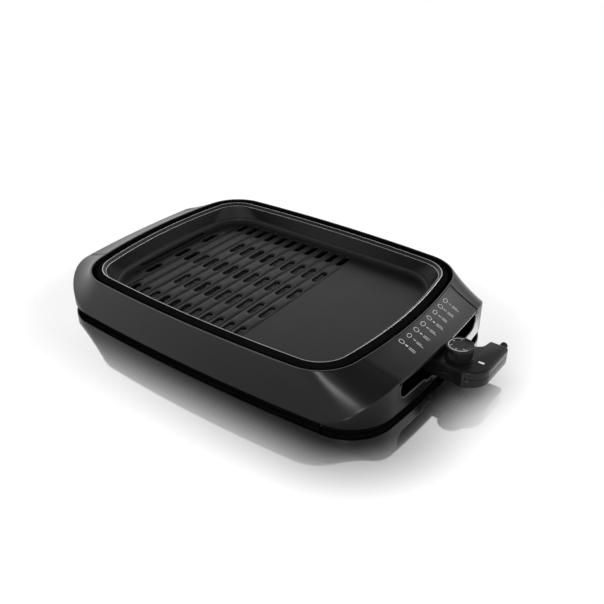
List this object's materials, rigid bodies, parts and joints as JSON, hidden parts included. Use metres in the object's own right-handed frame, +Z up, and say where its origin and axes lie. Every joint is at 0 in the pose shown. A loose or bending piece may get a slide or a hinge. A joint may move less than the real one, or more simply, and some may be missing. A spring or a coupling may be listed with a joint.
{
  "type": "electric indoor grill",
  "caption": "Low electric tabletop grill with flared ends, a lift-off plate that is part slotted and part flat, a slide-out drip tray and a plug-in heat control.",
  "frame": {"origin": "on the table plane, below the middle of the whole object's box", "axes": "+X towards the control plug along the long side, -Y is the front, +Z up"},
  "size_m": [0.6216, 0.365, 0.074],
  "materials": {
    "base_black": "fine texture",
    "foot_rubber": "matte",
    "screw_steel": "zinc plated",
    "body_black": "satin gloss",
    "cover_grey": "satin gloss",
    "sheet_steel": "rolled sheet",
    "element_sheath": "heat tinted",
    "ceramic": "unglazed ceramic",
    "nickel": "nickel plated",
    "nonstick": "dark non-stick coating",
    "tray_grey": "satin grey coating",
    "plug_black": "fine texture",
    "switch_tan": "moulded phenolic",
    "brass_metal": "turned",
    "lens_red": "clear tinted",
    "gland_rubber": "matte",
    "knob_black": "satin with fine grip ridges"
  },
  "bodies": {
    "housing": {"base_frame": "base_black", "rubber_feet": "foot_rubber", "base_screws": "screw_steel", "body_shell": "body_black", "left_handle_cover": "cover_grey", "right_handle_cover": "cover_grey", "cover_screws": "screw_steel", "support_rails": "sheet_steel", "rail_screws": "screw_steel", "plate_supports": "sheet_steel", "heating_element": "element_sheath", "element_clips": "sheet_steel", "terminal_bracket": "sheet_steel", "terminal_block": "ceramic", "contact_pins": "nickel", "socket_guard": "sheet_steel"},
    "cooking_plate": {"grill_plate": "nonstick"},
    "tray": {"drip_tray": "tray_grey", "tray_grip": "base_black"},
    "control_plug": {"plug_lower_shell": "plug_black", "plug_upper_shell": "plug_black", "plug_screws": "screw_steel", "thermostat_switch": "switch_tan", "contact_sockets": "brass_metal", "sensor_rod": "nickel", "sensor_sleeve": "sheet_steel", "shaft_bush": "brass_metal", "pilot_lens": "lens_red", "cord_gland": "gland_rubber"},
    "heat_knob": {"knob": "knob_black", "knob_shaft": "screw_steel"}
  },
  "joints": [
    {"name": "plate_lift", "type": "slide", "parent": "housing", "child": "cooking_plate", "axis": [0, 0, 1], "range_m": [0, 0.12]},
    {"name": "tray_slide", "type": "slide", "parent": "housing", "child": "tray", "axis": [0, -1, 0], "range_m": [0, 0.3]},
    {"name": "plug_pull", "type": "slide", "parent": "housing", "child": "control_plug", "axis": [1, 0, 0], "range_m": [0, 0.09]},
    {"name": "knob_turn", "type": "hinge", "parent": "control_plug", "child": "heat_knob", "pos_m": [0.26785, 0, 0.05], "axis": [0, 0, 1], "range_deg": [-270, 0]}
  ]
}
